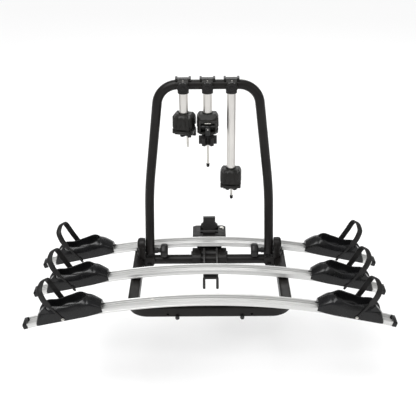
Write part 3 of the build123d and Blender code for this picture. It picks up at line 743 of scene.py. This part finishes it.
def make_claw(arm):
    body = f"claw_body_{arm}"
    back = claw_shell(arm, BODY_BACK)
    joined_pieces(f"claw_back_{arm}", [back], body, CLAW, 50.0)
    jaw = claw_shell(arm, JAW_BACK)
    joined_pieces(f"jaw_back_{arm}", [jaw], f"claw_jaw_{arm}", CLAW, 50.0)
    collar = loft(turned((0, 0, 0), (0, 0, 1), COLLAR_PROFILE))
    joined_pieces(f"claw_collar_{arm}", [in_claw(arm, collar)], body, CLAW)
    slot_strip = soft_block(*SLOT_STRIP, 0.5)
    joined_pieces(f"claw_slot_{arm}", [in_claw(arm, slot_strip)], body, ZINC)
    make_swing_bolt(arm)


def make_swing_bolt(arm):
    """Dark cross head and stem, a plated rod, and a rubber tip on the rods that have one."""
    body = f"claw_bolt_{arm}"
    tip = ROD_TIP_Z[arm]
    has_tip = arm in TIPPED_RODS
    cross = loft(turned((-CROSS_HALF, BOLT_AXIS_Y, BOLT_AXIS_Z), (1, 0, 0), CROSS_PROFILE, 20))
    stem = soft_block(*STEM, 1.6)
    eye = soft_block(*EYE, 2.6)
    head = [in_claw(arm, part) for part in (cross, stem, eye)]
    joined_pieces(f"bolt_head_{arm}", head, body, DARK_BOLT)
    pip = turned(PIP_PLACE, (0, -1, 0), PIP_PROFILE, 16)
    rod_end = tip + ROD_IN_TIP if has_tip else tip
    rod_profile = [(rod_end, ROD_R - 1), (rod_end + 0.8, ROD_R), (ROD_TOP - 1, ROD_R), (ROD_TOP, ROD_R - 1)]
    rod = turned((0, BOLT_AXIS_Y, 0), (0, 0, 1), rod_profile, 20)
    plated = joined_pieces(f"bolt_rod_{arm}", [in_claw(arm, loft(pip)), in_claw(arm, loft(rod))], body,
                           ZINC)
    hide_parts(f"claw_bolt_{arm}")
    if has_tip:
        cap_profile = [(tip, 1.5), (tip + 0.6, 3.8), (tip + 2.4, 5.2), (tip + 5, 5.5),
                       (tip + 12.6, 5.5), (tip + 13.6, 4.8), (tip + 14, 3.4)]
        cap = turned((0, BOLT_AXIS_Y, 0), (0, 0, 1), cap_profile, 24)
        joined_pieces(f"bolt_tip_{arm}", [in_claw(arm, loft(cap))], body, KNOB)


# ------------------------------------------------------------------ clamp heads and knobs
KNOB_FACE_Y = HOOP_Y - 45
KNOB_RIM_Y = HOOP_Y - 42
KNOB_RIM_R = 16.0
KNOB_RIM_THICK = 1.6
BOLT_END_HALF = 2.0
BOLT_END_Y = (HOOP_Y - 27, HOOP_Y - 22)
BOLT_END_Z = (HOOP_TOP_Z + 13, HOOP_TOP_Z + 21)
GRIP_LOBES = 6
GRIP_LOBE_DEPTH = 0.035
HUB_PROFILE = [(-3, 7), (-1, 7), (0.4, 6), (0.9, 3), (0.9, 0.4)]
GRIP_PROFILE = [(0, 12), (0.6, 18), (2.6, 22.0), (6, 24.0), (12, 24.6), (20, 24.0), (24, 22),
                (26.4, 17), (27, 8)]
SHANK_PROFILE = [(25, 8), (35, 8), (36, 10), (46, 10), (47, 8.6)]


def make_clamp_details(arm):
    """Rim and hub on the clamp's knob, and a plated bolt end that shows above it on the clamp."""
    x = ARM_X[arm]
    rim = ring_shell((x, KNOB_RIM_Y, HOOP_TOP_Z), (0, 1, 0), KNOB_RIM_R, KNOB_RIM_THICK)
    hub = loft(turned((x, KNOB_FACE_Y, HOOP_TOP_Z), (0, -1, 0), HUB_PROFILE, 24))
    joined_pieces(f"clamp_knob_rim_{arm}", [rim, hub], f"arm_knob_{arm}", KNOB)
    low = (x - BOLT_END_HALF, BOLT_END_Y[0], BOLT_END_Z[0])
    high = (x + BOLT_END_HALF, BOLT_END_Y[1], BOLT_END_Z[1])
    joined_pieces(f"clamp_bolt_end_{arm}", [soft_block(low, high, 0.8)], f"arm_{arm}", ZINC)


def make_hoop_knob(side_name):
    """Fat rounded grip with shallow lobes on a round shank."""
    side = SIDES[side_name]
    start = (side * GRIP_START_X, HOOP_Y, HOOP_PIVOT_Z)
    parts = [lobed(start, (side, 0, 0), GRIP_PROFILE, GRIP_LOBES, GRIP_LOBE_DEPTH),
             loft(turned(start, (side, 0, 0), SHANK_PROFILE, 28))]
    knob = joined_pieces(f"hoop_grip_{side_name}", parts, f"hoop_knob_{side_name}",
                         KNOB, 50.0)
    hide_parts(f"hoop_knob_{side_name}")


# ------------------------------------------------------------------ hinge cheeks and pedal ends
CHEEK_PROFILE = [(0, 13), (1.2, 18.5), (4, 22.4), (9, 24), (18, 24), (23, 22), (26, 17.5), (27, 12)]
KNEE_PROFILE = [(0, 12), (1.5, 18), (5, 22), (11, 24), (19, 23.4), (25, 19), (28, 12)]
PEDAL_END_PROFILE = [(0, 3.0), (1.0, 4.4), (4, 4.9), (20, 4.9), (44, 4.4), (46, 3.4)]


def make_hinge_lobes():
    """Rounded cheeks outside the hoop's legs, with a swelling knee below them."""
    parts = []
    for side in SIDES.values():
        axis = (side, 0, 0)
        parts.append(lobed((side * CHEEK_X, HOOP_Y + 1, CHEEK_Z), axis, CHEEK_PROFILE, 2, 0.02))
        parts.append(loft(turned((side * KNEE_X, HOOP_Y + 2, KNEE_Z), axis, KNEE_PROFILE, 48)))
    joined_pieces("hinge_cheeks", parts, "platform", POWDER, 55.0)


def make_pedal_ends():
    """Thick rounded ends that cap the pedal's two plates."""
    parts = []
    for side in SIDES.values():
        foot = (PEDAL_X + side * PEDAL_PLATE_X, PEDAL_FRONT_Y + 5, PEDAL_END_Z)
        parts.append(loft(turned(foot, (0, 0, 1), PEDAL_END_PROFILE, 24)))
    joined_pieces("pedal_ends", parts, "tilt_pedal", COUPLING, 50.0)


# ------------------------------------------------------------------ everything
for rail_name, rail_place_y in RAIL_YS.items():
    make_rail(rail_name, rail_place_y)
    for tray_side in SIDES:
        make_tray(rail_name, rail_place_y, tray_side)
        make_strap(rail_name, rail_place_y, tray_side)
        dress(f"strap_buckle_{rail_name}_{tray_side}", TRAY, 1.6)
make_end_caps()

dress("base_frame", POWDER, 0.8)
dress("cross_tube", POWDER)
dress("center_bracket", POWDER, 1.2)
soften("hinge_brackets", POWDER, 1.1, 10)
dress("frame_studs", DARK_BOLT, 1.2)
dress("platform_pins", DARK_BOLT, 0.8)
dress("rail_bolts", ZINC, 0.3)
dress("tilt_pedal", COUPLING, 0.8)
dress("coupling_body", COUPLING, 1.4)
dress("coupling_pins", DARK_BOLT, 0.5)
dress("coupling_lever", COUPLING, 1.4)
dress("lock_cylinder", ZINC, 0.5)
dress("clamp_jaw", COUPLING, 1.0)
dress("hoop_tube", POWDER)
dress("hoop_feet", POWDER, 2.4)
for side_name in SIDES:
    make_hoop_knob(side_name)
for arm in ARM_X:
    dress(f"arm_clamp_{arm}", CLAW, 1.2)
    dress(f"arm_tube_{arm}", TUBE)
    dress(f"arm_knob_{arm}", KNOB, 1.6)
    soften(f"claw_body_{arm}", CLAW, 1.1, 12)
    dress(f"claw_jaw_{arm}", CLAW, 1.4)
    dress(f"claw_knob_{arm}", KNOB, 2.0)
    make_clamp_details(arm)
    make_claw(arm)
make_hinge_lobes()
make_pedal_ends()


# ------------------------------------------------------------------ floor, lights and camera, in metres
FLOOR_SIZE = 60
FLOOR_Z = -0.42
FLOOR_GREY = 0.93
WORLD_STRENGTH = 0.4
SUN_SPREAD = math.radians(40)
# name: (place, point it faces, size, power)
LIGHTS = {
    "key": ((-1.6, -2.4, 3.2), (0, 0, 0.2), 2.4, 40),
    "fill": ((2.6, -1.6, 2.0), (0, 0, 0.2), 2.4, 18),
    "back": ((0.3, 2.6, 2.6), (0, 0, 0.3), 2.0, 30),
}
CAMERA_PLACE_MM = (-1.0, -2602.65, 1528.6)
CAMERA_PITCH = math.radians(27.278)
CAMERA_YAW = math.radians(-0.0684)
CAMERA_ROLL = math.radians(-0.3954)
CAMERA_LENS = 69.57
CAMERA_SENSOR = 36.0


def make_floor():
    bpy.ops.mesh.primitive_plane_add(size=FLOOR_SIZE, location=(0, 0, FLOOR_Z))
    floor = bpy.context.object
    floor.name = "floor"
    material = bpy.data.materials.new("floor_paper")
    material.use_nodes = True
    shader = material.node_tree.nodes["Principled BSDF"]
    shader.inputs["Base Color"].default_value = (FLOOR_GREY, FLOOR_GREY, FLOOR_GREY, 1)
    shader.inputs["Roughness"].default_value = 0.95
    floor.data.materials.append(material)


def make_light(name, location, target, size, energy):
    data = bpy.data.lights.new(name, "AREA")
    data.shape = "DISK"
    data.size = size
    data.energy = energy
    light = bpy.data.objects.new(name, data)
    light.location = location
    light.rotation_euler = (Vector(target) - Vector(location)).to_track_quat("-Z", "Y").to_euler()
    bpy.context.scene.collection.objects.link(light)


def make_sun(name, towards, energy):
    """Broad light from one direction, which reaches all of the floor alike."""
    data = bpy.data.lights.new(name, "SUN")
    data.angle = SUN_SPREAD
    data.energy = energy
    light = bpy.data.objects.new(name, data)
    light.rotation_euler = Vector(towards).to_track_quat("Z", "Y").to_euler()
    bpy.context.scene.collection.objects.link(light)


def make_world():
    world = bpy.data.worlds.new("studio")
    world.use_nodes = True
    background = world.node_tree.nodes["Background"]
    background.inputs["Color"].default_value = (1.0, 1.0, 1.0, 1)
    background.inputs["Strength"].default_value = WORLD_STRENGTH
    bpy.context.scene.world = world


def make_camera():
    pitch, yaw, roll = CAMERA_PITCH, CAMERA_YAW, CAMERA_ROLL
    forward = Vector((math.sin(yaw) * math.cos(pitch), math.cos(yaw) * math.cos(pitch), -math.sin(pitch)))
    right = Vector((math.cos(yaw), -math.sin(yaw), 0))
    up = right.cross(forward)
    right, up = (math.cos(roll) * right + math.sin(roll) * up,
                 -math.sin(roll) * right + math.cos(roll) * up)
    data = bpy.data.cameras.new("camera")
    data.lens = CAMERA_LENS
    data.sensor_width = CAMERA_SENSOR
    data.clip_end = 100
    camera = bpy.data.objects.new("camera", data)
    turn = Matrix((right, up, -forward)).transposed()
    camera.matrix_world = Matrix.Translation(Vector(CAMERA_PLACE_MM) * MM) @ turn.to_4x4()
    bpy.context.scene.collection.objects.link(camera)
    bpy.context.scene.camera = camera


make_floor()
make_world()
make_sun("sky", (-0.5, -0.6, 1.5), 2.2)
for light_name, light_settings in LIGHTS.items():
    make_light(light_name, *light_settings)
make_camera()
bpy.context.scene.view_settings.view_transform = "Standard"
